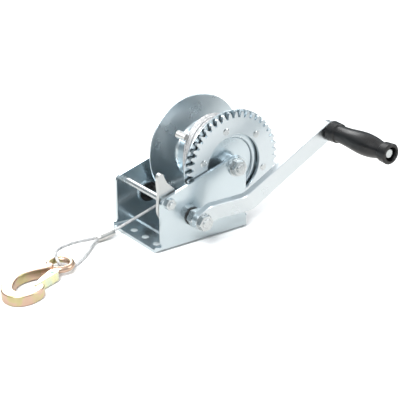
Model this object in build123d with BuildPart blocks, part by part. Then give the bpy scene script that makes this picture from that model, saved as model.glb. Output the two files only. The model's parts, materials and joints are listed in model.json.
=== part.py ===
from build123d import *
import math
import os

os.makedirs("parts", exist_ok=True)

# Hand winch for a boat trailer. X runs back from the rope side, Y runs along the drum,
# Z is up. The origin is the middle one of the three front mounting holes, on the
# underside of the base. All sizes are in millimetres.

# ---------------------------------------------------------------- driving dimensions

sheet = 4.0                    # steel of the frame
y_near = -43.0                 # outer face of the side plate on the crank side
y_far = 59.0                   # outer face of the other side plate
x_front = -5.0                 # front edge of the side plates
x_rear = 123.0                 # rear edge of the side plates
front_lip = 7.5                # how far the base stands out in front of the plates
rear_lip = 3.5                 # and behind them
bend_radius = 6.0              # outside of the two bends of the frame
foot_height = 7.0              # height of the bent stubs in front of the plates
heel_height = 17.0             # height of the stubs behind them
corner_height = 66.5           # where the sloping top edge would meet the front edge
top_slope = 16.6               # degrees
hole_pitch = 25.0              # mounting holes
hole_radius = 5.0
rear_hole_x = 100.0

x_axle = 108.0
z_axle = 85.5
axle_radius = 6.0
boss_radius = 15.0             # top corner of each side plate, round about the axle

gear_module = 3.0
gear_teeth = 44
pinion_teeth = 11
mesh_angle = 36.6              # from the drive shaft up to the axle, degrees
centre_distance = gear_module * (gear_teeth + pinion_teeth) / 2
x_drive = x_axle - centre_distance * math.cos(math.radians(mesh_angle))
z_drive = z_axle - centre_distance * math.sin(math.radians(mesh_angle))

x_tie = 7.5
z_tie = 61.0
tie_radius = 4.0

rim_radius = 71.0              # both drum flanges
barrel_radius = 35.0
barrel_wall = 2.0
seam_y = 2.0                   # where the two halves of the barrel are welded

arm_angle = 27.7               # crank above the level, degrees
arm_length = 193.5             # drive shaft to grip
arm_width = 22.0
arm_thickness = 9.0

rope_radius = 2.0
rope_y = 29.5                  # where the rope runs off the drum
running_gap = 0.06             # radial clearance of each turning fit

# ---------------------------------------------------------------- derived places

y_near_in = y_near + sheet
y_far_in = y_far - sheet
base_front = x_front - front_lip
base_rear = x_rear + rear_lip
slope = math.tan(math.radians(top_slope))


def cross_plane(x, z):
    """Plane through (x, z) square to X: its own x is Y, its own y is height above z."""
    return Plane(origin=(x, 0, z), x_dir=(0, 1, 0), z_dir=(1, 0, 0))


def axis_y(x, z):
    """Line along Y through (x, z)."""
    return Axis((x, 0, z), (0, 1, 0))


def turned_face(x, z, corners):
    """Face with corners (y, radius), ready to be turned about the line along Y at (x, z)."""
    with BuildSketch(cross_plane(x, z)) as face:
        with BuildLine():
            Polyline(*corners, close=True)
        make_face()
    return face.sketch


def tube_face(x, z, y0, y1, inner, outer):
    """Section of a plain tube or washer from y0 to y1."""
    return turned_face(x, z, [(y0, inner), (y1, inner), (y1, outer), (y0, outer)])


def hex_face(x, z, y, flats, bore=0.0):
    """Hexagon in the plane at y, with its flats this far apart and an optional bore."""
    with BuildSketch(Plane.XZ.offset(-y)) as face:
        with Locations((x, z)):
            RegularPolygon(radius=flats / 2, side_count=6, major_radius=False)
            if bore:
                Circle(bore, mode=Mode.SUBTRACT)
    return face.sketch


def nut_corners(x, z, y0, y1, flats):
    """Turned face that rounds off the corners of a hexagon between y0 and y1."""
    corner = flats / math.sqrt(3)
    drop = (corner - flats / 2) * math.tan(math.radians(30))
    return turned_face(x, z, [
        (y0, 0), (y0, flats / 2), (y0 + drop, corner),
        (y1 - drop, corner), (y1, flats / 2), (y1, 0),
    ])


def polar(centre, radius, degrees):
    """Point at this radius and angle about centre."""
    angle = math.radians(degrees)
    return (centre[0] + radius * math.cos(angle), centre[1] + radius * math.sin(angle))


def swing(point, centre, degrees):
    """Point turned about centre."""
    angle = math.radians(degrees)
    dx = point[0] - centre[0]
    dz = point[1] - centre[1]
    return (
        centre[0] + dx * math.cos(angle) - dz * math.sin(angle),
        centre[1] + dx * math.sin(angle) + dz * math.cos(angle),
    )


# ---------------------------------------------------------------- frame

# One pressed sheet: a channel, open at the top, trimmed to the outline of its side
# plates and to the rounded plan of its base.
with BuildPart() as frame:
    with BuildSketch(Plane.YZ.offset(base_front)) as channel:
        with BuildLine():
            Polyline((y_near, 110), (y_near, 0), (y_far, 0), (y_far, 110), close=True)
        make_face()
        fillet(channel.vertices().group_by(Axis.Y)[0], radius=bend_radius)
        with BuildLine():
            Polyline(
                (y_near_in, 112), (y_near_in, sheet), (y_far_in, sheet), (y_far_in, 112),
                close=True,
            )
        make_face(mode=Mode.SUBTRACT)
    extrude(amount=base_rear - base_front)
    inner_bends = frame.edges().filter_by(Axis.X).filter_by_position(Axis.Z, sheet - 0.1, sheet + 0.1)
    fillet(inner_bends, radius=bend_radius - sheet)

    # outline of the side plates: level foot, upright front, sloping top, round boss
    with BuildSketch(Plane.XZ.offset(-y_far - 1)) as side:
        with BuildLine():
            top_z = corner_height
            Polyline(
                (base_front, 0), (base_front, foot_height), (x_front, foot_height),
                (x_front, top_z), (x_rear, top_z + (x_rear - x_front) * slope),
                (x_rear, heel_height), (base_rear, heel_height), (base_rear, 0), close=True,
            )
        make_face()
        fillet(side.vertices().group_by(Axis.Y)[-1], radius=boss_radius)
        fillet(side.vertices().sort_by(Axis.Y).filter_by_position(Axis.X, x_front, x_front)[-1], radius=9.5)
    extrude(amount=y_far - y_near + 2, mode=Mode.INTERSECT)

    # plan of the base, with its corners rounded
    with BuildSketch(Plane.XY.offset(-1)) as plan:
        with Locations(((base_front + base_rear) / 2, (y_near + y_far) / 2)):
            Rectangle(base_rear - base_front, y_far - y_near)
        fillet(plan.vertices().group_by(Axis.X)[0], radius=front_lip)
        fillet(plan.vertices().group_by(Axis.X)[-1], radius=rear_lip)
    extrude(amount=125, mode=Mode.INTERSECT)

    # broad stiffening rib pressed up across the base
    with BuildSketch(Plane.XZ.offset(-y_far - 1)):
        with BuildLine():
            Polyline((17, -0.1), (21, 2), (51, 2), (55, -0.1), close=True)
        make_face()
    extrude(amount=y_far - y_near + 2, mode=Mode.SUBTRACT)
    with BuildSketch(Plane.XZ.offset(-y_far_in - 1)):
        with BuildLine():
            Polyline((17, sheet - 1), (20, sheet + 2), (52, sheet + 2), (55, sheet - 1), close=True)
        make_face()
    extrude(amount=y_far_in - y_near_in + 2)

    # relief nicks where the bends end
    for x_nick in (x_front + 4.5, x_rear - 3.5):
        for y_nick in (y_near - 1, y_far - bend_radius + 1):
            with BuildSketch(Plane.XZ.offset(-y_nick - bend_radius)):
                with BuildLine():
                    Polyline((x_nick - 2, -0.1), (x_nick, 4.2), (x_nick + 2, -0.1), close=True)
                make_face()
            extrude(amount=bend_radius, mode=Mode.SUBTRACT)

    # mounting holes in the base
    with BuildSketch(Plane.XY):
        with Locations((0, -hole_pitch), (0, 0), (0, hole_pitch), (rear_hole_x, 0)):
            Circle(hole_radius)
    extrude(amount=sheet + 1, mode=Mode.SUBTRACT)

    # raised collar round the far bush
    revolve(tube_face(x_drive, z_drive, y_far_in - 2, y_far_in + 1, 13.0, 15.4), axis=axis_y(x_drive, z_drive))

    # bores for the axle, the tie rod and the two bushes
    with BuildSketch(Plane.XZ.offset(-y_far - 1)):
        with Locations((x_axle, z_axle)):
            Circle(axle_radius + 0.2)
        with Locations((x_tie, z_tie)):
            Circle(tie_radius + 0.2)
        with Locations((x_drive, z_drive)):
            Circle(9.0)
    extrude(amount=y_far - y_near + 2, mode=Mode.SUBTRACT)
    revolve(tube_face(x_drive, z_drive, y_far_in - 3, y_far + 1, 0, 13.0), axis=axis_y(x_drive, z_drive), mode=Mode.SUBTRACT)
frame.part.label = "frame"

# ---------------------------------------------------------------- axle

axle = axis_y(x_axle, z_axle)
bolt_end = -53.5
near_washer = (-45.0, y_near)
far_washer = (y_far, 61.0)
nut_flats = 18.0

with BuildPart() as axle_bolt:
    revolve(turned_face(x_axle, z_axle, [
        (bolt_end, 0), (bolt_end, axle_radius - 1), (bolt_end + 1, axle_radius),
        (far_washer[1], axle_radius), (far_washer[1], 0),
    ]), axis=axle)
    extrude(hex_face(x_axle, z_axle, far_washer[1] + 7.5, nut_flats), amount=7.5)
    revolve(turned_face(x_axle, z_axle, [
        (bolt_end - 1, 0), (bolt_end - 1, 12), (far_washer[1] + 6.2, 12),
        (far_washer[1] + 7.5, nut_flats / 2), (far_washer[1] + 7.5, 0),
    ]), axis=axle, mode=Mode.INTERSECT)
axle_bolt.part.label = "axle_bolt"

with BuildPart() as axle_washers:
    revolve(tube_face(x_axle, z_axle, near_washer[0], near_washer[1], 6.3, 12.0), axis=axle)
    revolve(tube_face(x_axle, z_axle, far_washer[0], far_washer[1], 6.3, 12.0), axis=axle)
axle_washers.part.label = "axle_washers"

with BuildPart() as axle_nut:
    extrude(hex_face(x_axle, z_axle, near_washer[0], nut_flats, axle_radius), amount=6.5)
    revolve(nut_corners(x_axle, z_axle, near_washer[0] - 6.5, near_washer[0], nut_flats), axis=axle, mode=Mode.INTERSECT)
axle_nut.part.label = "axle_nut"

sleeve_radius = 9.0
with BuildPart() as axle_sleeve:
    revolve(tube_face(x_axle, z_axle, y_near_in, y_far_in, 6.3, sleeve_radius), axis=axle)
axle_sleeve.part.label = "axle_sleeve"

# ---------------------------------------------------------------- drum

flange_front = -31.3           # crank side face of the near flange
flange_back = flange_front + barrel_wall
barrel_inner = barrel_radius - barrel_wall

# Near half: a flat flange that turns into the hollow barrel on a 4 mm bend.
with BuildPart() as near_flange:
    with BuildSketch(cross_plane(x_axle, z_axle)) as profile:
        with BuildLine():
            l1 = Line((seam_y, barrel_inner), (flange_front + 4, barrel_inner))
            l2 = TangentArc(l1 @ 1, (flange_front, barrel_inner + 4), tangent=(-1, 0))
            l3 = Line(l2 @ 1, (flange_front, rim_radius - 1))
            l4 = RadiusArc(l3 @ 1, (flange_back, rim_radius - 1), -1)
            l5 = Line(l4 @ 1, (flange_back, barrel_radius + 2))
            l6 = TangentArc(l5 @ 1, (flange_back + 2, barrel_radius), tangent=(0, -1))
            l7 = Line(l6 @ 1, (seam_y, barrel_radius))
            Line(l7 @ 1, l1 @ 0)
        make_face()
    revolve(axis=axle)
near_flange.part.label = "near_flange"

# Far half: the barrel flares on a 5 mm bend into a shallow cone.
cone = math.radians(12.3)
flare_y = 31.3
with BuildPart() as far_flange:
    with BuildSketch(cross_plane(x_axle, z_axle)):
        with BuildLine():
            f1 = Line((seam_y, barrel_radius), (flare_y, barrel_radius))
            bend_end = (flare_y + 5 * math.cos(cone), barrel_radius + 5 - 5 * math.sin(cone))
            f2 = TangentArc(f1 @ 1, bend_end, tangent=(1, 0))
            reach = rim_radius - 1 - bend_end[1]
            f3 = Line(f2 @ 1, (bend_end[0] + reach * math.tan(cone), rim_radius - 1))
            f4 = RadiusArc(f3 @ 1, ((f3 @ 1).X + barrel_wall, rim_radius - 1), 1.02)
            back_end = (bend_end[0] + barrel_wall * 1.02, bend_end[1])
            f5 = Line(f4 @ 1, back_end)
            f6 = Line(f5 @ 1, (flare_y + 2.5, barrel_inner))
            f7 = Line(f6 @ 1, (seam_y, barrel_inner))
            Line(f7 @ 1, f1 @ 0)
        make_face()
    revolve(axis=axle)
far_flange.part.label = "far_flange"

# Hub tube that turns on the sleeve, with a disc at each end of the barrel.
hub_outer = 12.5
hub_front = 11.0
near_web = (-28.5, -26.5)
far_web = (25.0, 27.0)
with BuildPart() as drum_hub:
    revolve(turned_face(x_axle, z_axle, [
        (y_near_in + 0.6, sleeve_radius + running_gap), (y_far_in - 0.6, sleeve_radius + running_gap),
        (y_far_in - 0.6, hub_outer), (far_web[1], hub_outer), (far_web[1], barrel_inner),
        (far_web[0], barrel_inner), (far_web[0], hub_outer), (near_web[1], hub_outer),
        (near_web[1], barrel_inner), (near_web[0], barrel_inner), (near_web[0], hub_front),
        (y_near_in + 0.6, hub_front),
    ]), axis=axle)
drum_hub.part.label = "drum_hub"

# ---------------------------------------------------------------- gears

pressure_angle = math.radians(20)


def involute_flank(teeth, tip, start, thickness):
    """Points (radius, half angle) of one tooth flank, from start out to the tip radius.

    The half angle is half the tooth's thickness at that radius, seen from the centre:
    the value at the pitch circle plus the difference of the involute function.
    """
    pitch = gear_module * teeth / 2
    base = pitch * math.cos(pressure_angle)
    at_pitch = thickness / 2 / pitch
    involute_at_pitch = math.tan(pressure_angle) - pressure_angle
    points = []
    for step in range(5):
        radius = max(start, base) + (tip - max(start, base)) * step / 4
        alpha = math.acos(base / radius)
        points.append((radius, at_pitch + involute_at_pitch - (math.tan(alpha) - alpha)))
    return points


def tooth_face(teeth, tip, root, thickness):
    """One tooth pointing along its own x, from just under the root circle to the tip."""
    flank = involute_flank(teeth, tip, root, thickness)
    low_radius, low_half = flank[0]
    upper = [(r * math.cos(a), r * math.sin(a)) for r, a in flank]
    lower = [(r * math.cos(a), -r * math.sin(a)) for r, a in flank]
    foot = (root - 0.8) * math.cos(low_half), (root - 0.8) * math.sin(low_half)
    with BuildSketch(mode=Mode.PRIVATE) as tooth:
        with BuildLine():
            Line(foot, upper[0])
            Spline(*upper)
            ThreePointArc(upper[-1], (tip, 0), lower[-1])
            Spline(*reversed(lower))
            Line(lower[0], (foot[0], -foot[1]))
            Line((foot[0], -foot[1]), foot)
        make_face()
    return tooth.sketch


gear_tip = gear_module * gear_teeth / 2 + 2.7
gear_root = gear_tip - 7.2
gear_bore = 40.0
gear_front = -37.6
gear_back = -33.6
pinion_pitch = gear_module * pinion_teeth / 2
pinion_tip = pinion_pitch + 2.7
pinion_root = pinion_pitch - 3.6
tooth_thickness = 4.35

# A tooth gap of the pinion has to face the pawl 1.5 pitches either side of the tie rod.
pawl_angle = math.degrees(math.atan2(z_tie - z_drive, x_tie - x_drive))
pinion_pitch_angle = 360 / pinion_teeth
turns_back = round((pawl_angle - mesh_angle) / pinion_pitch_angle)
pinion_phase = pawl_angle - turns_back * pinion_pitch_angle
gear_phase = mesh_angle + 180 + 180 / gear_teeth - (pinion_phase - mesh_angle) * pinion_teeth / gear_teeth

with BuildPart() as gear_plate:
    with BuildSketch(Plane(origin=(x_axle, gear_back, z_axle), x_dir=(1, 0, 0), z_dir=(0, -1, 0))):
        Circle(gear_root)
        with PolarLocations(0, gear_teeth, start_angle=gear_phase):
            add(tooth_face(gear_teeth, gear_tip, gear_root, tooth_thickness))
        Circle(gear_bore, mode=Mode.SUBTRACT)
    extrude(amount=gear_back - gear_front)
    bore_edges = gear_plate.edges().filter_by(GeomType.CIRCLE).filter_by(lambda e: abs(e.radius - gear_bore) < 0.01)
    fillet(bore_edges, radius=1.0)
gear_plate.part.label = "gear_plate"

# Rivets that hold the gear to the flange on 2.3 mm collars.
rivet_circle = 48.0
rivet_count = 6
rivet_angle = 45.0
rivet_centres = [polar((x_axle, z_axle), rivet_circle, rivet_angle + 60 * n) for n in range(rivet_count)]
with BuildPart() as gear_rivets:
    for x_rivet, z_rivet in rivet_centres:
        revolve(turned_face(x_rivet, z_rivet, [
            (gear_front - 0.9, 0), (gear_front - 0.9, 3.2), (gear_front - 0.3, 4.6), (gear_front, 4.6),
            (gear_front, 3.0), (gear_back, 3.0), (gear_back, 4.8), (flange_front, 4.8),
            (flange_front, 2.5), (flange_back, 2.5), (flange_back, 4.2), (flange_back + 0.6, 4.2),
            (flange_back + 1.2, 2.8), (flange_back + 1.2, 0),
        ]), axis=axis_y(x_rivet, z_rivet))
gear_rivets.part.label = "gear_rivets"

for riveted, reach in ((gear_plate, (gear_front, 3.0)), (near_flange, (flange_front, 2.5))):
    with riveted:
        with BuildSketch(Plane.XZ.offset(-flange_back - 1)):
            with Locations(*rivet_centres):
                Circle(reach[1])
        extrude(amount=10, mode=Mode.SUBTRACT)
gear_plate.part.label = "gear_plate"
near_flange.part.label = "near_flange"

# ---------------------------------------------------------------- drive shaft

drive = axis_y(x_drive, z_drive)
shaft_radius = 6.0
shaft_slim = 5.0
bush_radius = 9.0
shaft_end = -73.5
pinion_near = y_near_in + 0.4
pinion_far = flange_front - 0.5
arm_inner = -55.6
arm_outer = arm_inner - arm_thickness

with BuildPart() as drive_shaft:
    revolve(turned_face(x_drive, z_drive, [
        (shaft_end, 0), (shaft_end, shaft_radius - 1), (shaft_end + 1, shaft_radius),
        (pinion_far, shaft_radius), (pinion_far, shaft_slim), (y_far - 0.5, shaft_slim), (y_far - 0.5, 0),
    ]), axis=drive)
drive_shaft.part.label = "drive_shaft"

with BuildPart() as pinion:
    with BuildSketch(Plane(origin=(x_drive, pinion_far, z_drive), x_dir=(1, 0, 0), z_dir=(0, -1, 0))):
        Circle(pinion_root)
        with PolarLocations(0, pinion_teeth, start_angle=pinion_phase):
            add(tooth_face(pinion_teeth, pinion_tip, pinion_root, tooth_thickness))
        Circle(shaft_radius, mode=Mode.SUBTRACT)
    extrude(amount=pinion_far - pinion_near)
pinion.part.label = "pinion"

with BuildPart() as near_bush:
    revolve(turned_face(x_drive, z_drive, [
        (y_near - 2.0, shaft_radius + running_gap), (y_near_in, shaft_radius + running_gap),
        (y_near_in, bush_radius), (y_near, bush_radius), (y_near, 11.5), (y_near - 2.0, 11.5),
    ]), axis=drive)
near_bush.part.label = "near_bush"

with BuildPart() as far_bush:
    revolve(turned_face(x_drive, z_drive, [
        (y_far_in + 1.5, shaft_slim + running_gap), (y_far + 1.5, shaft_slim + running_gap),
        (y_far + 1.5, 15.5), (y_far, 15.5), (y_far, 13.0), (y_far_in - 1.0, 13.0),
        (y_far_in - 1.0, 11.5), (y_far_in + 1.5, 9.0),
    ]), axis=drive)
far_bush.part.label = "far_bush"

# Hexagonal collar between the bush and the crank arm.
with BuildPart() as shaft_collar:
    extrude(hex_face(x_drive, z_drive, y_near - 2.4, 21.0, shaft_radius), amount=y_near - 2.4 - arm_inner)
    revolve(nut_corners(x_drive, z_drive, arm_inner, y_near - 2.4, 21.0), axis=drive, mode=Mode.INTERSECT)
shaft_collar.part.label = "shaft_collar"

with BuildPart() as crank_washer:
    revolve(tube_face(x_drive, z_drive, arm_outer - 1.2, arm_outer, shaft_radius + 0.2, 11.0), axis=drive)
crank_washer.part.label = "crank_washer"

with BuildPart() as crank_nut:
    extrude(hex_face(x_drive, z_drive, arm_outer - 1.2, nut_flats, shaft_radius), amount=6.0)
    revolve(nut_corners(x_drive, z_drive, arm_outer - 7.2, arm_outer - 1.2, nut_flats), axis=drive, mode=Mode.INTERSECT)
crank_nut.part.label = "crank_nut"

# ---------------------------------------------------------------- crank arm and grip

step_start = 19.0              # along the arm, where it begins to bend outwards
step_end = 54.0
arm_step = 31.5                # how far it steps out
grip_x = x_drive + arm_length * math.cos(math.radians(arm_angle))
grip_z = z_drive + arm_length * math.sin(math.radians(arm_angle))
arm_dir = (math.cos(math.radians(arm_angle)), 0, math.sin(math.radians(arm_angle)))
edge_plane = Plane(origin=(x_drive, 0, z_drive), x_dir=arm_dir, z_dir=(-arm_dir[2], 0, arm_dir[0]))

# A flat bar with a Z-bend: its edge view is extruded across its width, then the two
# ends are rounded to the bar's own width.
with BuildPart() as crank_arm:
    with BuildSketch(edge_plane) as edge_view:
        with BuildLine():
            Polyline(
                (-arm_width / 2, -arm_inner), (step_start, -arm_inner), (step_end, -arm_inner + arm_step),
                (arm_length + arm_width / 2, -arm_inner + arm_step),
                (arm_length + arm_width / 2, -arm_outer + arm_step),
                (step_end - 3, -arm_outer + arm_step), (step_start - 3, -arm_outer), (-arm_width / 2, -arm_outer),
                close=True,
            )
        make_face()
        if edge_plane.y_dir.Y > 0:
            mirror(about=Plane.XZ, mode=Mode.REPLACE)
    extrude(amount=arm_width / 2, both=True)
    bends = crank_arm.edges().filter_by(Plane.XZ).filter_by(
        lambda e: abs(e.length - arm_width) < 0.01
        and 10 < (e.center() - Vector(x_drive, 0, z_drive)).dot(Vector(*arm_dir)) < 60
    )
    fillet(bends, radius=14)
    with BuildSketch(Plane.XZ.offset(-arm_inner + arm_step + arm_thickness + 1)) as outline:
        with Locations((x_drive + grip_x) / 2 * Vector(1, 0) + (z_drive + grip_z) / 2 * Vector(0, 1)):
            SlotCenterToCenter(arm_length, arm_width, rotation=arm_angle)
    extrude(amount=-(arm_step + arm_thickness + 2), mode=Mode.INTERSECT)
    with BuildSketch(Plane.XZ.offset(-arm_inner - 1)):
        with Locations((x_drive, z_drive)):
            Circle(shaft_radius)
    extrude(amount=arm_thickness + 2, mode=Mode.SUBTRACT)
    with BuildSketch(Plane.XZ.offset(-arm_inner + arm_step - 1)):
        with Locations((grip_x, grip_z)):
            Circle(5.0)
    extrude(amount=arm_thickness + 2, mode=Mode.SUBTRACT)
    chamfer(crank_arm.edges().filter_by(Plane.XZ).group_by(Axis.Y)[0], length=0.8)
crank_arm.part.label = "crank_arm"

spin = axis_y(grip_x, grip_z)
grip_start = arm_outer - arm_step - 1.4
grip_end = grip_start - 103.0
spindle_radius = 5.0
recess_depth = 9.0

with BuildPart() as grip_spindle:
    revolve(turned_face(grip_x, grip_z, [
        (arm_inner - arm_step + 1.8, 0), (arm_inner - arm_step + 1.8, 4.0), (arm_inner - arm_step, 6.5),
        (arm_inner - arm_step, spindle_radius), (grip_end + recess_depth - 0.6, spindle_radius),
        (grip_end + recess_depth - 0.6, 5.8), (grip_end + 4.2, 5.8), (grip_end + 3.4, 5.0), (grip_end + 3.4, 0),
    ]), axis=spin)
grip_spindle.part.label = "grip_spindle"

with BuildPart() as grip_washer:
    revolve(tube_face(grip_x, grip_z, arm_outer - arm_step - 1.2, arm_outer - arm_step, 5.2, 9.0), axis=spin)
grip_washer.part.label = "grip_washer"

# Moulded grip: an inner collar, a waist, a full belly, a second waist and an end collar
# with a recess for the head of the spindle.
with BuildPart() as grip:
    with BuildSketch(cross_plane(grip_x, grip_z)):
        with BuildLine():
            g = grip_start
            e = grip_end
            bore = spindle_radius + running_gap
            g1 = Line((g, bore), (g, 11.6))
            g2 = Line(g1 @ 1, (g - 1.6, 13.0))
            g3 = Line(g2 @ 1, (g - 13.5, 12.4))
            g4 = Line(g3 @ 1, (g - 15.0, 10.8))
            g5 = Spline(
                g4 @ 1, (g - 32, 11.6), (g - 58, 13.9), (g - 76, 12.4), (e + 13.5, 10.4),
                tangents=[(-1, 0), (-1, 0)],
            )
            g6 = Line(g5 @ 1, (e + 11.5, 12.2))
            g7 = Line(g6 @ 1, (e + 1.6, 12.9))
            g8 = Line(g7 @ 1, (e, 11.4))
            g9 = Line(g8 @ 1, (e, 8.8))
            g10 = Line(g9 @ 1, (e + recess_depth, 8.0))
            g11 = Line(g10 @ 1, (e + recess_depth, bore))
            Line(g11 @ 1, g1 @ 0)
        make_face()
    revolve(axis=spin)
grip.part.label = "grip"

# ---------------------------------------------------------------- tie rod and pawl

tie = axis_y(x_tie, z_tie)
tie_flats = 13.0
tie_nut_depth = 4.5
with BuildPart() as tie_rod:
    revolve(turned_face(x_tie, z_tie, [
        (y_near - 7.0, 0), (y_near - 7.0, tie_radius - 0.8), (y_near - 6.2, tie_radius),
        (y_far + 6.2, tie_radius), (y_far + 7.0, tie_radius - 0.8), (y_far + 7.0, 0),
    ]), axis=tie)
tie_rod.part.label = "tie_rod"

with BuildPart() as tie_nuts:
    extrude(hex_face(x_tie, z_tie, y_near, tie_flats, tie_radius), amount=tie_nut_depth)
    extrude(hex_face(x_tie, z_tie, y_far + tie_nut_depth, tie_flats, tie_radius), amount=tie_nut_depth)
    near_faces = tie_nuts.faces().sort_by(Axis.Y)
    chamfer(near_faces[0].outer_wire().edges(), length=0.7)
    chamfer(tie_nuts.faces().sort_by(Axis.Y)[-1].outer_wire().edges(), length=0.7)
tie_nuts.part.label = "tie_nuts"

pawl_near = -37.0
pawl_far = -31.7
pawl_swing = 10.0
pivot = (x_tie, z_tie)
hub_centre = (x_drive, z_drive)


def pawl_tooth(angle, turn, sides):
    """Corners (radius, side) of a pawl tooth, set in its tooth gap and swung back by turn."""
    corners = []
    for radius, side in sides:
        x, z = polar(hub_centre, radius, angle)
        square = math.radians(angle + 90)
        corners.append(swing((x + side * math.cos(square), z + side * math.sin(square)), pivot, turn))
    return corners


# Anchor-shaped pawl: one tooth above the pinion and one below, so that it holds either
# way round, and a thumb tab that stands up in front of the drum. The back of the upper
# tooth is cut away to clear the gear.
upper_sides = [(25.5, 4.6), (21.0, 3.2), (15.8, 1.7), (15.8, -0.6), (21.0, -1.6)]
lower_sides = [(25.5, 4.6), (21.0, 3.0), (15.8, 1.3), (15.8, -1.3), (21.0, -3.0), (25.5, -4.6)]
upper_tooth = pawl_tooth(pawl_angle - 1.5 * pinion_pitch_angle, pawl_swing, upper_sides)
lower_tooth = pawl_tooth(pawl_angle + 1.5 * pinion_pitch_angle, -pawl_swing, lower_sides)
with BuildPart() as pawl:
    with BuildSketch(Plane.XZ.offset(-pawl_far)) as outline:
        with BuildLine():
            Polyline(
                (-4.8, 94.5), (-4.6, 85), (-3.4, 72), (-4.6, 57), (-4.4, 48), (0.2, 38), (7, 29),
                *lower_tooth, (12.5, 41), (14.5, 50), (24, 58),
                *upper_tooth, (39.5, 69.2), (33, 70), (23.5, 68.5), (17.8, 77), (8.6, 85.5), (4.4, 93.5),
                (3.2, 97.6), (-0.4, 99.2), (-3.8, 97.6), close=True,
            )
        make_face()
        fillet(outline.vertices().filter_by(lambda v: v.Y > 84 or v.X < 0), radius=1.5)
        with Locations(pivot):
            Circle(tie_radius + running_gap, mode=Mode.SUBTRACT)
    extrude(amount=pawl_far - pawl_near)
pawl.part.label = "pawl"

with BuildPart() as pawl_washer:
    revolve(tube_face(x_tie, z_tie, y_near_in, pawl_near - 0.05, tie_radius + 0.1, 8.0), axis=tie)
pawl_washer.part.label = "pawl_washer"

with BuildPart() as pawl_clip:
    revolve(tube_face(x_tie, z_tie, pawl_far + 0.1, pawl_far + 1.3, tie_radius, 6.8), axis=tie)
pawl_clip.part.label = "pawl_clip"

# ---------------------------------------------------------------- rope on the drum

# Crimp on the dead end of the rope, lying in the outside of the winding.
stop_radius = 4.9
stop_length = 14.0
stop_x, stop_z = polar((x_axle, z_axle), 56.5, 142)
stop_plane = Plane(origin=(stop_x, 1.0, stop_z), x_dir=(0, 0, 1), z_dir=(-0.35, 0.92, 0.17))
with BuildPart() as rope_stop:
    with BuildSketch(stop_plane):
        Circle(stop_radius)
    extrude(amount=stop_length)
    fillet(rope_stop.edges().filter_by(GeomType.CIRCLE), radius=1.4)
rope_stop.part.label = "rope_stop"

lap_radius = barrel_radius + rope_radius + 0.15
winding_near = flange_back + 1.5
winding_far = 8.0
winding_radius = 57.0
with BuildPart() as rope_winding:
    revolve(turned_face(x_axle, z_axle, [
        (winding_near, barrel_radius + 0.1), (winding_far, barrel_radius + 0.1),
        (winding_far, winding_radius - 6), (winding_far - 4, winding_radius), (winding_near, winding_radius),
    ]), axis=axle)
    with BuildSketch(stop_plane.offset(-0.1)):
        Circle(stop_radius + 0.1)
    extrude(amount=stop_length + 0.2, mode=Mode.SUBTRACT)
rope_winding.part.label = "rope_winding"

# Where a line through a point touches a circle about the axle from below.
ferrule_top = (-27.6, 8.0)
gap_x = x_axle - ferrule_top[0]
gap_z = z_axle - ferrule_top[1]
reach = math.hypot(gap_x, gap_z)
lead_angle = math.degrees(math.atan2(gap_z, gap_x) - math.asin(lap_radius / reach))
leave_x, leave_z = polar((x_axle, z_axle), lap_radius, lead_angle - 90)

# Half a turn on the bare barrel, from the winding round the back to where the rope
# leaves, in a plane that leans enough to carry it across.
lean = math.degrees(math.atan2(rope_y - (winding_far + rope_radius + 0.3), 2 * lap_radius))
turn_radius = (lap_radius + 0.05) / math.cos(math.radians(lean))
turn_y = (rope_y + winding_far + rope_radius + 0.3) / 2
low = math.radians(lead_angle - 90)
level = math.cos(math.radians(lean))
radial = Vector(math.cos(low) * level, math.sin(math.radians(lean)), math.sin(low) * level)
along = Vector(-math.sin(low), 0, math.cos(low))
turn_centre = Vector(x_axle, turn_y, z_axle)
with BuildPart() as rope_last_turn:
    with BuildSketch(Plane(origin=turn_centre + radial * turn_radius, x_dir=radial, z_dir=along)):
        Circle(rope_radius)
    revolve(axis=Axis(turn_centre, radial.cross(along)), revolution_arc=178)
rope_last_turn.part.label = "rope_last_turn"

# ---------------------------------------------------------------- free rope

ferrule_tilt = 8.0
ferrule_length = 25.0
ferrule_dir = Vector(-math.cos(math.radians(ferrule_tilt)), 0, -math.sin(math.radians(ferrule_tilt)))
ferrule_start = Vector(ferrule_top[0], rope_y, ferrule_top[1])
ferrule_low = ferrule_start + ferrule_dir * ferrule_length
ferrule_plane = Plane(origin=ferrule_start, x_dir=(0, 1, 0), z_dir=tuple(ferrule_dir))

with BuildPart() as rope_lead:
    with BuildLine():
        Line((leave_x, rope_y, leave_z), tuple(ferrule_start))
    with BuildSketch(Plane(origin=(leave_x, rope_y, leave_z), z_dir=(ferrule_start - Vector(leave_x, rope_y, leave_z)))):
        Circle(rope_radius)
    sweep()
rope_lead.part.label = "rope_lead"

# Pressed sleeve, an oval tube that tapers a little towards both ends.
with BuildPart() as ferrule:
    for shift, scale_in in ((0, 0.84), (4, 1.0), (ferrule_length - 4, 1.0), (ferrule_length, 0.84)):
        with BuildSketch(ferrule_plane.offset(shift)):
            SlotOverall(12.4 * scale_in, 8.4 * scale_in)
    loft(ruled=True)
ferrule.part.label = "ferrule"

# The loop: out of the ferrule, over the eye of the hook, down through it, back under it.
eye_route = [
    tuple(ferrule_low + Vector(0, 2.3, 0)),
    (-66.0, 32.6, 5.2),
    (-80.5, 32.3, 6.4),
    (-95.0, 27.6, 8.4),
    (-108.0, 20.0, 11.2),
    (-118.5, 10.5, 14.6),
    (-126.8, -0.8, 16.2),
    (-128.4, -8.8, 11.4),
    (-126.0, -12.0, 5.0),
    (-119.0, -14.8, 2.1),
    (-109.5, -14.9, 2.05),
    (-97.0, -8.4, 2.05),
    (-84.0, 1.6, 2.05),
    (-72.0, 12.4, 2.4),
    (-61.5, 22.0, 3.6),
    tuple(ferrule_low + Vector(0, -2.3, 0)),
]


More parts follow.
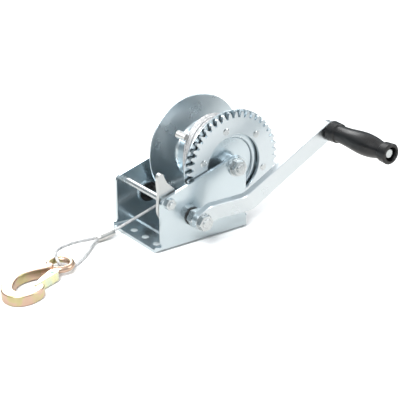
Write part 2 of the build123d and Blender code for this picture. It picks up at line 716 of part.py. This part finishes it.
def route_radii(route):
    """Largest arc at each corner: 0.45 of the shorter run over the tangent of half the turn."""
    radii = []
    for before, here, after in zip(route, route[1:], route[2:]):
        run_in = Vector(*here) - Vector(*before)
        run_out = Vector(*after) - Vector(*here)
        half_turn = math.radians(run_in.get_angle(run_out)) / 2
        radii.append(0.45 * min(run_in.length, run_out.length) / math.tan(half_turn))
    return radii


eye_radii = route_radii(eye_route)
print("rope loop radii:", [round(r, 1) for r in eye_radii])
with BuildPart() as rope_eye:
    with BuildLine() as path:
        FilletPolyline(*eye_route, radius=eye_radii)
    start = path.wire() ^ 0
    with BuildSketch(Plane(origin=start.position, z_dir=path.wire() % 0)):
        Circle(rope_radius)
    sweep()
rope_eye.part.label = "rope_eye"
loop_length = path.wire().length
lead_length = (ferrule_start - Vector(leave_x, rope_y, leave_z)).length
section = math.pi * rope_radius**2
print(f"rope loop: volume {rope_eye.part.volume:.1f}, section times length {section * loop_length:.1f}")
print(f"rope lead: volume {rope_lead.part.volume:.1f}, section times length {section * lead_length:.1f}")
print(f"free rope: lead {lead_length:.1f}, ferrule {ferrule_length:.1f}, loop {loop_length:.1f}")

# ---------------------------------------------------------------- hook

# The hook lies on its side. Its plane leans down 1.2 degrees from the eye, which rests on
# the rope, to the end of the bowl, which rests on the floor.
hook_heading = math.radians(200)
hook_lean = math.radians(1.23)
eye_centre = (-128.0, -14.0, 8.35)
eye_radius = 13.5
eye_section = 4.0
hook_half = 6.2
hook_x = (math.cos(hook_heading) * math.cos(hook_lean), math.sin(hook_heading) * math.cos(hook_lean), -math.sin(hook_lean))
hook_z = (math.cos(hook_heading) * math.sin(hook_lean), math.sin(hook_heading) * math.sin(hook_lean), math.cos(hook_lean))
hook_plane = Plane(origin=eye_centre, x_dir=hook_x, z_dir=hook_z)

# centre line of the bowl and half its width at each point
bowl = [
    (13.5, -2.0, 4.6), (27, -8.0, 5.6), (40, -15.5, 6.2), (54, -18.5, 6.3), (68, -15.5, 6.5),
    (81, -8.0, 6.8), (90, 4.0, 7.0), (89, 15.0, 7.0), (80, 22.5, 6.4), (68, 24.5, 5.4), (58.5, 22.8, 4.2),
]


def bowl_side(sign):
    """Points along one side of the bowl, square to its centre line."""
    points = []
    for n, (u, v, half) in enumerate(bowl):
        before = bowl[max(n - 1, 0)]
        after = bowl[min(n + 1, len(bowl) - 1)]
        du, dv = after[0] - before[0], after[1] - before[1]
        length = math.hypot(du, dv)
        points.append((u + sign * half * dv / length, v - sign * half * du / length))
    return points


outer_side = bowl_side(1)
inner_side = bowl_side(-1)
tip = ((outer_side[-1][0] + inner_side[-1][0]) / 2 - 4.0, (outer_side[-1][1] + inner_side[-1][1]) / 2 - 1.0)
root = (10.5, -1.5)            # inside the rim of the eye
with BuildPart() as hook:
    with BuildSketch(hook_plane.offset(-hook_half)):
        with BuildLine():
            Spline(*outer_side, tip, *reversed(inner_side), root, periodic=True)
        make_face()
    extrude(amount=2 * hook_half)
    rims = hook.faces().sort_by(Axis.Z)
    fillet(rims[-1].edges() + rims[0].edges(), radius=1.4)
    # lug for the latch
    with BuildSketch(hook_plane.offset(-2.4)):
        with BuildLine():
            Polyline((8, 6), (15, 11.5), (24, 14.8), (28.3, 13.7), (29.3, 11), (30, -6), (16, -4), close=True)
        make_face()
    extrude(amount=4.8)
    with Locations(hook_plane):
        Torus(eye_radius, eye_section)
hook.part.label = "hook"

pin_u = 25.5
pin_v = 11.2
latch_half = 5.6
latch_sheet = 1.1
with hook:
    with BuildSketch(hook_plane.offset(-hook_half)):
        with Locations((pin_u, pin_v)):
            Circle(2.0)
    extrude(amount=2 * hook_half, mode=Mode.SUBTRACT)
hook.part.label = "hook"

with BuildPart() as latch_pin:
    with BuildSketch(hook_plane.offset(-latch_half - 0.9)):
        with Locations((pin_u, pin_v)):
            Circle(2.9)
    extrude(amount=0.9)
    with BuildSketch(hook_plane.offset(-latch_half)):
        with Locations((pin_u, pin_v)):
            Circle(2.0)
    extrude(amount=2 * latch_half)
    with BuildSketch(hook_plane.offset(latch_half)):
        with Locations((pin_u, pin_v)):
            Circle(2.9)
    extrude(amount=0.9)
latch_pin.part.label = "latch_pin"

# Spring latch: a channel of thin sheet whose open side faces into the hook.
latch_out = 16.6               # outside of its back
latch_end = 61.0
with BuildPart() as latch:
    with BuildSketch(hook_plane.offset(-latch_half)) as cheek:
        with BuildLine():
            Polyline(
                (21.5, 8.5), (21.5, latch_out), (latch_end, latch_out), (latch_end, latch_out - 3.2),
                (48, latch_out - 6.0), (32, 7.2), (24, 6.4), close=True,
            )
        make_face()
        fillet(cheek.vertices().group_by(Axis.X)[0], radius=0.6)
    extrude(amount=2 * latch_half)
    with BuildSketch(hook_plane.offset(-latch_half + latch_sheet)):
        with BuildLine():
            Polyline(
                (10, 0), (10, latch_out - latch_sheet), (latch_end + 5, latch_out - latch_sheet),
                (latch_end + 5, 0), close=True,
            )
        make_face()
    extrude(amount=2 * (latch_half - latch_sheet), mode=Mode.SUBTRACT)
    with BuildSketch(hook_plane.offset(-latch_half - 1)):
        with Locations((pin_u, pin_v)):
            Circle(2.0 + running_gap)
    extrude(amount=2 * latch_half + 2, mode=Mode.SUBTRACT)
latch.part.label = "latch"

with BuildPart() as latch_spring:
    for turn in range(2):
        with Locations(hook_plane.offset(3.0 + 0.75 * turn) * Location((pin_u, pin_v, 0))):
            Torus(3.0, 0.34)
latch_spring.part.label = "latch_spring"

# ---------------------------------------------------------------- export

nodes = [
    frame, axle_bolt, axle_washers, axle_nut, axle_sleeve, near_flange, far_flange, drum_hub,
    gear_plate, gear_rivets, drive_shaft, pinion, near_bush, far_bush, shaft_collar, crank_washer,
    crank_nut, crank_arm, grip_spindle, grip_washer, grip, tie_rod, tie_nuts, pawl, pawl_washer,
    pawl_clip, rope_winding, rope_last_turn, rope_stop, rope_lead, rope_eye, ferrule, hook,
    latch_pin, latch, latch_spring,
]
for node in nodes:
    export_step(node.part, f"parts/{node.part.label}.step")
pin_place = hook_plane.from_local_coords((pin_u, pin_v, 0))
print(f"crank axis {x_drive:.4f}, {z_drive:.4f}; grip axis {grip_x:.4f}, {grip_z:.4f}")
print("latch pin", pin_place, "hook normal", hook_plane.z_dir)
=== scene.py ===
# %% [markdown]
# # A hand winch for a boat trailer
# The winch is a pressed channel of zinc-plated sheet that carries a rope drum with a ring
# gear, a cranked handle on a small pinion, a two-way pawl, and a wire rope with a forged
# hook. The hard parts come from the CAD model and stay where they are. This lesson gives
# them their real finishes, and makes what CAD leaves plain: the stranded rope.

# %% Load the CAD frame
import json

import bpy
import numpy as np
from mathutils import Matrix, Vector


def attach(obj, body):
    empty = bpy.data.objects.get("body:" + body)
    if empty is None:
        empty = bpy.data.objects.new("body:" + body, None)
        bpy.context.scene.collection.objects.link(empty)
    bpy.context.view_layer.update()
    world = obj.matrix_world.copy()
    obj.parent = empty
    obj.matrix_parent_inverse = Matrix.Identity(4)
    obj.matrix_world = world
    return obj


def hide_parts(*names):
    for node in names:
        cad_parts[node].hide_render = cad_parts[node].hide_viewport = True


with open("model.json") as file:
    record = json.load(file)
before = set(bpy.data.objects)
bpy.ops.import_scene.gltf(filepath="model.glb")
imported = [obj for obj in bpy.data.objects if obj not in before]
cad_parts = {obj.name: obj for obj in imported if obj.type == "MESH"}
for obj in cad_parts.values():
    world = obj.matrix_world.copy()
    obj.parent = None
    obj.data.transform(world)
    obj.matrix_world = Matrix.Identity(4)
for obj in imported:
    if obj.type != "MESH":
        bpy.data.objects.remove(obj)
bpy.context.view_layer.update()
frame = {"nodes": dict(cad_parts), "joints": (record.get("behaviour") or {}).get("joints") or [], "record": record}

MM = 0.001
joint_at = {j["name"]: np.array(j["pos_m"]) for j in frame["joints"]}
AXLE = joint_at["drum_spin"]
print("joints:", sorted(joint_at))

# %% [markdown]
# ## Camera
# A long lens looks down on the winch from the crank side, in front of the rope. The three
# directions of the camera are written out, so that it needs no aiming constraint.

# %% Camera
EYE = (-0.6969, -1.0723, 0.5946)
LENS_MM = 102.45
right = Vector((0.8085, -0.5885, 0.0))
up = Vector((0.2297, 0.3156, 0.9207))
back = Vector((-0.5418, -0.7444, 0.3903))
camera = bpy.data.objects.new("camera", bpy.data.cameras.new("camera"))
camera.data.lens = LENS_MM
camera.data.sensor_width = 36.0
camera.matrix_world = Matrix.Translation(EYE) @ Matrix((right, up, back)).transposed().to_4x4()
bpy.context.scene.collection.objects.link(camera)
bpy.context.scene.camera = camera

# %% [markdown]
# ## The line of the free rope
# The rope leaves the winding, goes half a turn round the bare barrel, runs down to the
# ferrule and makes a loop through the eye of the hook. A NURBS spline of order 3 rounds
# every corner of its control points, as a real rope does. On the barrel the control
# points stand a little outside the circle, so that the spline itself lies on it.

# %% Route of the free rope
ROPE_R = 2.0 * MM
LAP_R = 37.2 * MM                      # rope's centre line on the bare barrel
TURN_FROM, TURN_TO = 10.3 * MM, 29.5 * MM
FERRULE_IN = Vector((-0.0276, 0.0295, 0.0080))
FERRULE_OUT = Vector((-0.05236, 0.0295, 0.00452))


def leaving_angle():
    """Slope of the line from the ferrule that just touches the lap circle from below: the
    slope to the axle less the angle whose sine is the lap radius over the distance."""
    dx, dz = AXLE[0] - FERRULE_IN.x, AXLE[2] - FERRULE_IN.z
    return np.arctan2(dz, dx) - np.arcsin(LAP_R / np.hypot(dx, dz))


def barrel_points():
    """Control points of the half turn: a polygon of 30 degree steps about the axle, whose
    corners stand out by one over the cosine of 15 degrees, moving across as the cosine."""
    slope = leaving_angle()
    turn = np.radians([180, 165, 135, 105, 75, 45, 15, -15])
    radius = np.where(turn == np.pi, LAP_R, LAP_R / np.cos(np.radians(15)))
    angle = slope - np.pi / 2 + turn
    mid, half = (TURN_FROM + TURN_TO) / 2, (TURN_TO - TURN_FROM) / 2
    across = np.where(turn < 0, TURN_TO, mid + half * np.cos(np.clip(turn, 0, np.pi)))
    x, z = AXLE[0] + radius * np.cos(angle), AXLE[2] + radius * np.sin(angle)
    return np.stack([x, across, z], 1)


LOOP = [
    (-0.0524, 0.0318, 0.0045), (-0.0660, 0.0326, 0.0052), (-0.0805, 0.0323, 0.0064),
    (-0.0950, 0.0276, 0.0084), (-0.1080, 0.0200, 0.0112), (-0.1185, 0.0105, 0.0146),
    (-0.1268, -0.0008, 0.0162), (-0.1284, -0.0088, 0.0114), (-0.1260, -0.0120, 0.0050),
    (-0.1190, -0.0148, 0.0021), (-0.1095, -0.0149, 0.00205), (-0.0970, -0.0084, 0.00205),
    (-0.0840, 0.0016, 0.00205), (-0.0720, 0.0124, 0.0024), (-0.0615, 0.0220, 0.0036),
    (-0.0524, 0.0272, 0.0045),
]
TAIL = (-0.0420, 0.0272, 0.0060)
route = [tuple(p) for p in barrel_points()]
route += [tuple(FERRULE_IN), (-0.0400, 0.0308, 0.0063)] + LOOP + [TAIL]


def spline_line(name, points, resolution=12):
    """The centre line of a NURBS spline through control points, as an array of points."""
    data = bpy.data.curves.new(name, "CURVE")
    data.dimensions = "3D"
    data.resolution_u = resolution
    spline = data.splines.new("NURBS")
    spline.points.add(len(points) - 1)
    spline.points.foreach_set("co", np.c_[np.array(points), np.ones(len(points))].ravel())
    spline.order_u = 3
    spline.use_endpoint_u = True
    holder = bpy.data.objects.new(name, data)
    mesh = bpy.data.meshes.new_from_object(holder)
    line = np.zeros(len(mesh.vertices) * 3)
    mesh.vertices.foreach_get("co", line)
    bpy.data.objects.remove(holder)
    bpy.data.meshes.remove(mesh)
    return line.reshape(-1, 3)


def length_of(line):
    """Sum of the distances from each point to the next."""
    return float(np.linalg.norm(np.diff(line, axis=0), axis=1).sum())


def evenly(line, step):
    """The same line with its points about step apart, by linear interpolation."""
    run = np.r_[0, np.cumsum(np.linalg.norm(np.diff(line, axis=0), axis=1))]
    at = np.linspace(0, run[-1], max(int(run[-1] / step), 2))
    return np.stack([np.interp(at, run, line[:, k]) for k in range(3)], 1)


rope_line = spline_line("rope_route", route)
print(f"free rope {length_of(rope_line):.3f} m, lowest {rope_line[:, 2].min():.5f} m")

# %% [markdown]
# ## Stranded rope
# A wire rope is six strands laid round a core. Its outline is a circle with six lobes, and
# the lobes turn once in each lay length. Such a surface is one grid: rings of points along
# the line, each ring turned a little further than the one before.

# %% Rope surface
STRANDS = 6
LAY = 24 * MM
VALLEY = 0.13                           # half the depth between strands, as a share of the radius
AROUND, AROUND_WOUND = 18, 12           # points in a ring of the free and of the wound rope
FREE_STEP, WOUND_STEP = 1.2 * MM, 3.0 * MM


def surface(name, grid):
    """A mesh from a grid of points (along, around, 3) that closes on itself around. Its UV
    map runs in metres along and from 0 to 1 around."""
    n, m = grid.shape[:2]
    i, j = np.meshgrid(np.arange(n - 1), np.arange(m), indexing="ij")
    near, far = i * m + j, i * m + (j + 1) % m
    quads = np.stack([near, far, far + m, near + m], -1).reshape(-1, 4)
    mesh = bpy.data.meshes.new(name)
    faces = quads.tolist() + [list(range(m))[::-1], list(range((n - 1) * m, n * m))]
    mesh.from_pydata(grid.reshape(-1, 3).tolist(), [], faces)
    run = np.r_[0, np.cumsum(np.linalg.norm(np.diff(grid.mean(1), axis=0), axis=1))]
    uv = np.stack([
        np.stack([run[i], j / m], -1), np.stack([run[i], (j + 1) / m], -1),
        np.stack([run[i + 1], (j + 1) / m], -1), np.stack([run[i + 1], j / m], -1),
    ], 2).reshape(-1, 2)
    layer = mesh.uv_layers.new(name="lay")
    flat = np.zeros((len(mesh.loops), 2))
    flat[: len(uv)] = uv
    layer.data.foreach_set("uv", flat.ravel())
    mesh.polygons.foreach_set("use_smooth", [True] * len(mesh.polygons))
    mesh.validate()
    piece = bpy.data.objects.new(name, mesh)
    bpy.context.scene.collection.objects.link(piece)
    return piece


def rope_grid(line, radius, reference, around):
    """Rings about each point of the line. The radius waves with the cosine of six times the
    angle, from the rope's own at a strand to a quarter less in a valley, and the whole ring
    turns by one turn for each lay length along the line."""
    along = np.gradient(line, axis=0)
    along /= np.linalg.norm(along, axis=1, keepdims=True)
    side = np.cross(along, reference)
    side /= np.linalg.norm(side, axis=1, keepdims=True)
    rise = np.cross(side, along)
    run = np.r_[0, np.cumsum(np.linalg.norm(np.diff(line, axis=0), axis=1))]
    ring = np.linspace(0, 2 * np.pi, around, endpoint=False)
    size = radius * (1 - VALLEY + VALLEY * np.cos(STRANDS * ring))
    turn = ring[None, :] + (2 * np.pi * run / LAY)[:, None]
    return (
        line[:, None, :]
        + (size * np.cos(turn))[..., None] * side[:, None, :]
        + (size * np.sin(turn))[..., None] * rise[:, None, :]
    )


ACROSS_THE_LOOP = np.array([0.707, -0.707, 0])
fine_line = evenly(rope_line, FREE_STEP)
free_rope = surface("free_rope", rope_grid(fine_line, ROPE_R, ACROSS_THE_LOOP, AROUND))
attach(free_rope, "base")
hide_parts("rope_last_turn", "rope_lead", "rope_eye")

# %% [markdown]
# ## The wound rope
# On the drum the same rope lies in six layers. Each layer is a helix that goes across and
# the next one comes back. The outside swells on the upper side, where the winding is loose.
# On the other side the layers are drawn closer than the rope is thick and pass through each
# other, so only the outside is true. A few slow waves keep the turns from looking machined.

# %% Wound rope
LAYERS = 6
FIRST_R = 37.3                          # centre line of the first layer, mm
LAYER_STEP = 1.5                        # each next layer, where the winding is tight, mm
LAYER_SWELL = 2.25                      # more than that on the loose side, mm
LOOSE_SIDE = np.radians(103)            # middle of the loose side, from +X towards +Z
ACROSS_FROM, ACROSS_TO = -25.6, 5.6     # first and last turn of a layer, mm
TURN_PITCH = 4.1
WALL_TURNS = 0.6                        # how far the rope runs along a wall before it climbs


def winding_line():
    """All layers as one line: the angle grows evenly, the place across goes to and fro, and
    three sines of different speeds are added to the radius and to the place across. The
    layers stand apart on the loose side by a squared cosine of the angle from its middle."""
    pieces = []
    start = 0.0
    turns = (ACROSS_TO - ACROSS_FROM) / TURN_PITCH + 2 * WALL_TURNS
    for n in range(LAYERS):
        count = int(turns * 2 * np.pi * (FIRST_R + 3 * n) / (WOUND_STEP / MM))
        share = np.linspace(0, 1, count, endpoint=False)
        angle = start + 2 * np.pi * turns * share
        across = share if n % 2 == 0 else 1 - share
        across = np.clip((across * turns - WALL_TURNS) / (turns - 2 * WALL_TURNS), 0, 1)
        loose = 0.1 + 0.12 * n
        y = ACROSS_FROM + (ACROSS_TO - ACROSS_FROM) * across
        y = y + loose * (0.6 * np.sin(1.7 * angle + n) + 0.4 * np.sin(2.31 * angle + 2 * n))
        away = np.angle(np.exp(1j * (-angle - LOOSE_SIDE)))
        swell = np.cos(np.clip(1.14 * away, -np.pi / 2, np.pi / 2)) ** 2
        r = FIRST_R + n * (LAYER_STEP + LAYER_SWELL * swell) + 0.25 * np.sin(2.17 * angle) - 0.25
        pieces.append(np.stack([r * np.cos(angle), y, -r * np.sin(angle)], 1))
        start = angle[-1]
    return np.concatenate(pieces) * MM + np.array([AXLE[0], 0, AXLE[2]])


ALONG_THE_DRUM = np.array([0.0, 1.0, 0.0])
wound = evenly(winding_line(), WOUND_STEP)
wound_rope = surface("wound_rope", rope_grid(wound, ROPE_R, ALONG_THE_DRUM, AROUND_WOUND))
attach(wound_rope, "drum")
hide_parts("rope_winding")
print(f"wound rope {length_of(wound):.1f} m, {len(wound_rope.data.polygons)} faces")

# %% [markdown]
# ## Materials
# Colours are written as they look on a screen, and one function turns them to the linear
# values that a shader needs.

# %% Material helpers


def linear(hex_colour):
    """sRGB hex to linear: the low end is a straight line and the rest a power of 2.4."""
    value = np.array([int(hex_colour[k: k + 2], 16) for k in (1, 3, 5)]) / 255
    value = np.where(value <= 0.04045, value / 12.92, ((value + 0.055) / 1.055) ** 2.4)
    return (*value.tolist(), 1.0)


def node(tree, kind, inputs=None, **settings):
    """Adds one node. Settings are its attributes. Inputs are values or sockets to link."""
    made = tree.nodes.new(kind)
    for name, value in settings.items():
        setattr(made, name, value)
    for name, value in (inputs or {}).items():
        socket = made.inputs[name]
        if isinstance(value, bpy.types.NodeSocket):
            tree.links.new(value, socket)
        else:
            socket.default_value = value
    return made


def new_material(name):
    """An empty material with a Principled surface, and its tree, shader and coordinates."""
    made = bpy.data.materials.new(name)
    made.use_nodes = True
    tree = made.node_tree
    shader = tree.nodes["Principled BSDF"]
    place = node(tree, "ShaderNodeTexCoord")
    return made, tree, shader, place


def ramp(tree, factor, stops):
    """A colour ramp from (position, hex colour) stops."""
    made = node(tree, "ShaderNodeValToRGB", {"Fac": factor})
    elements = made.color_ramp.elements
    while len(elements) < len(stops):
        elements.new(0.5)
    for element, (position, colour) in zip(elements, stops):
        element.position = position
        element.color = linear(colour)
    return made.outputs["Color"]


GRAIN_MM, RINGS_MM = 0.9, 1.3           # mill grain, and rings of a spun part


def noise(tree, place, size_mm, detail, **more):
    """Noise on Object coordinates whose features are about size_mm across."""
    inputs = {"Vector": place.outputs["Object"], "Scale": 1000 / size_mm, "Detail": detail, **more}
    return node(tree, "ShaderNodeTexNoise", inputs).outputs["Fac"]


def vary_gloss(tree, shader, factor, span, rough):
    """Roughness that follows a factor from the low to the high end of its span."""
    gloss = node(tree, "ShaderNodeMapRange", {
        "Value": factor, "From Min": span[0], "From Max": span[1],
        "To Min": rough[0], "To Max": rough[1],
    })
    tree.links.new(gloss.outputs["Result"], shader.inputs["Roughness"])


def relief(tree, shader, height, strength, depth_mm):
    """Fine relief on the surface from a height."""
    bump = node(tree, "ShaderNodeBump", {
        "Height": height, "Strength": strength, "Distance": depth_mm * MM,
    })
    tree.links.new(bump.outputs["Normal"], shader.inputs["Normal"])


def calculate(tree, operation, *values):
    """One Math node on sockets or numbers."""
    return node(tree, "ShaderNodeMath", dict(enumerate(values)), operation=operation).outputs["Value"]


def bright_zinc(name, light, dark, rough, spun=False, cloud_mm=26.0):
    """Bright zinc plate on pressed steel. Plating keeps the mill's fine surface and adds a
    soft cloud, one to three centimetres across, in colour and in gloss. A spun part has fine
    rings."""
    made, tree, shader, place = new_material(name)
    shader.inputs["Metallic"].default_value = 1.0
    cloud = noise(tree, place, cloud_mm, 3.0)
    colour = ramp(tree, cloud, [(0.15, dark), (0.85, light)])
    tree.links.new(colour, shader.inputs["Base Color"])
    vary_gloss(tree, shader, cloud, (0.1, 0.9), (rough - 0.03, rough + 0.04))
    height = noise(tree, place, GRAIN_MM, 3.0)
    if spun:
        centred = node(tree, "ShaderNodeMapping", {
            "Vector": place.outputs["Object"], "Location": (-AXLE[0], 0, -AXLE[2]),
        })
        flat = node(tree, "ShaderNodeVectorMath", {
            0: centred.outputs["Vector"], 1: (1, 0, 1),
        }, operation="MULTIPLY")
        radius = node(tree, "ShaderNodeVectorMath", {0: flat.outputs["Vector"]}, operation="LENGTH")
        rings = node(tree, "ShaderNodeTexNoise", {
            "W": radius.outputs["Value"], "Scale": 1000 / RINGS_MM, "Detail": 4.0,
        }, noise_dimensions="1D")
        height = calculate(tree, "ADD", rings.outputs["Fac"], height)
    relief(tree, shader, height, 0.04, 0.2)
    return made


def yellow_chromate(name, stops, rough):
    """Zinc with a yellow chromate film. The film is thinner in places, which turns the gold
    to pink and green, in patches of a centimetre or two."""
    made, tree, shader, place = new_material(name)
    shader.inputs["Metallic"].default_value = 1.0
    shader.inputs["Roughness"].default_value = rough
    patch = noise(tree, place, 24.0, 2.0, Distortion=0.4)
    tree.links.new(ramp(tree, patch, stops), shader.inputs["Base Color"])
    relief(tree, shader, noise(tree, place, 1.6, 3.0), 0.18, 0.3)
    return made


WIRE_ALONG, WIRES_AROUND = 2.2 * MM, 18     # spacing of wires along, and how many round


def galvanised_wire(name):
    """Galvanised rope: each strand is itself seven thin wires, drawn here as slanting lines
    about 0.7 mm apart, with patches of grease and dirt."""
    made, tree, shader, place = new_material(name)
    shader.inputs["Metallic"].default_value = 0.6
    shader.inputs["Roughness"].default_value = 0.45
    parts = node(tree, "ShaderNodeSeparateXYZ", {"Vector": place.outputs["UV"]})
    slant = calculate(tree, "MULTIPLY", parts.outputs["X"], 2 * np.pi / WIRE_ALONG)
    round_it = calculate(tree, "MULTIPLY", parts.outputs["Y"], 2 * np.pi * WIRES_AROUND)
    wires = calculate(tree, "SINE", calculate(tree, "ADD", slant, round_it))
    grime = noise(tree, place, 5.0, 4.0)
    colour = ramp(tree, grime, [(0.25, "#9FA1A2"), (0.5, "#CFD0D1"), (0.8, "#E2E2E2")])
    tree.links.new(colour, shader.inputs["Base Color"])
    relief(tree, shader, wires, 0.5, 0.15)
    return made


def moulded_plastic(name, colour, rough, grain_mm):
    """Black moulded plastic: almost one colour, with a fine spark-eroded grain."""
    made, tree, shader, place = new_material(name)
    shader.inputs["Base Color"].default_value = linear(colour)
    shader.inputs["IOR"].default_value = 1.49
    worn = noise(tree, place, 25.0, 2.0)
    vary_gloss(tree, shader, worn, (0.3, 0.7), (rough - 0.05, rough + 0.08))
    relief(tree, shader, noise(tree, place, grain_mm, 3.0), 0.12, 0.2)
    return made


# %% Finishes
finish = {
    "frame_zinc": bright_zinc("bright_zinc_sheet", "#CFDADF", "#C5D1D7", 0.25),
    "drum_zinc": bright_zinc("spun_zinc_drum", "#CFDADF", "#C7D3D9", 0.28, spun=True),
    "gear_zinc": bright_zinc("stamped_zinc_gear", "#D4DCE0", "#CBD4D9", 0.30),
    "arm_zinc": bright_zinc("zinc_bar", "#D6DCDF", "#CDD5D9", 0.28),
    "pawl_zinc": bright_zinc("dull_zinc_pawl", "#CDD0D0", "#BDC1C2", 0.36),
    "fastener_zinc": bright_zinc("zinc_fastener", "#D2D6D7", "#B9BFC1", 0.27, cloud_mm=12.0),
    "bush_nylon": moulded_plastic("black_nylon", "#161616", 0.45, 0.6),
    "grip_plastic": moulded_plastic("black_grip", "#0F0F10", 0.30, 0.5),
    "wire_rope": galvanised_wire("galvanised_wire"),
    "ferrule_alu": bright_zinc("pressed_aluminium", "#E4E4E2", "#C8C8C6", 0.34, cloud_mm=10.0),
    "hook_chromate": yellow_chromate("yellow_chromate_forging", [
        (0.25, "#BBAF82"), (0.4, "#C3B98E"), (0.5, "#CDB09E"), (0.62, "#C8AC96"),
        (0.75, "#C2BA90"),
    ], 0.30),
    "latch_chromate": yellow_chromate("yellow_chromate_sheet", [
        (0.3, "#C9D2B4"), (0.45, "#DFDDB0"), (0.6, "#C3D6CE"), (0.75, "#E3DFC0"),
    ], 0.26),
}
slot_of = {row["node"]: row["material_slot"] for row in frame["record"]["subparts"]}
for name, item in frame["nodes"].items():
    item.data.materials.clear()
    item.data.materials.append(finish[slot_of[name]])
for piece in (free_rope, wound_rope):
    piece.data.materials.append(finish["wire_rope"])

# %% [markdown]
# ## Studio
# A white floor, a sky that is bright above and dim at the horizon, and three soft lights.
# Plated metal shows mostly what it reflects, and the dim band gives the flat sides their
# grey. The floor is also a little darker to reflections than to the camera. Real paper
# isn't; it keeps the metal from reflecting the floor as pure white.

# %% Floor and light
FLOOR, FLOOR_Z = 4, -0.0003             # half its side, and just under the winch
floor_mesh = bpy.data.meshes.new("floor")
corners = [(-FLOOR, -FLOOR), (FLOOR, -FLOOR), (FLOOR, FLOOR), (-FLOOR, FLOOR)]
floor_mesh.from_pydata([(x, y, FLOOR_Z) for x, y in corners], [], [(0, 1, 2, 3)])
floor = bpy.data.objects.new("floor", floor_mesh)
bpy.context.scene.collection.objects.link(floor)
paper, paper_tree, paper_shader, _ = new_material("white_paper")
rays = node(paper_tree, "ShaderNodeLightPath")
paper_seen = node(paper_tree, "ShaderNodeMix", {
    "Factor": rays.outputs["Is Glossy Ray"],
}, data_type="RGBA")
paper_seen.inputs["A"].default_value = linear("#FBFBFB")
paper_seen.inputs["B"].default_value = linear("#DDDBD8")
paper_tree.links.new(paper_seen.outputs["Result"], paper_shader.inputs["Base Color"])
paper_shader.inputs["Roughness"].default_value = 0.9
floor_mesh.materials.append(paper)


def soft_light(name, place, aim, size, power):
    """A square area light at place that faces aim."""
    data = bpy.data.lights.new(name, "AREA")
    data.size = size
    data.energy = power
    made = bpy.data.objects.new(name, data)
    made.location = place
    made.rotation_euler = (Vector(aim) - Vector(place)).to_track_quat("-Z", "Y").to_euler()
    bpy.context.scene.collection.objects.link(made)


CENTRE = (0.05, 0.0, 0.07)
soft_light("key", (-0.9, -0.5, 1.3), CENTRE, 0.9, 30)
soft_light("side", (1.2, -0.9, 0.8), CENTRE, 0.7, 9)
soft_light("rear", (0.4, 1.3, 0.9), CENTRE, 0.8, 10)
world = bpy.data.worlds.new("studio")
world.use_nodes = True
bpy.context.scene.world = world
sky = world.node_tree
sky_place = node(sky, "ShaderNodeTexCoord")
sky_parts = node(sky, "ShaderNodeSeparateXYZ", {"Vector": sky_place.outputs["Generated"]})
sky_colour = ramp(sky, sky_parts.outputs["Z"], [
    (0.0, "#35444B"), (0.2, "#5F7078"), (0.5, "#E4E8EB"), (1.0, "#FFFFFF"),
])
sky.links.new(sky_colour, sky.nodes["Background"].inputs["Color"])
sky.nodes["Background"].inputs["Strength"].default_value = 1.0
bpy.context.scene.view_settings.view_transform = "Standard"
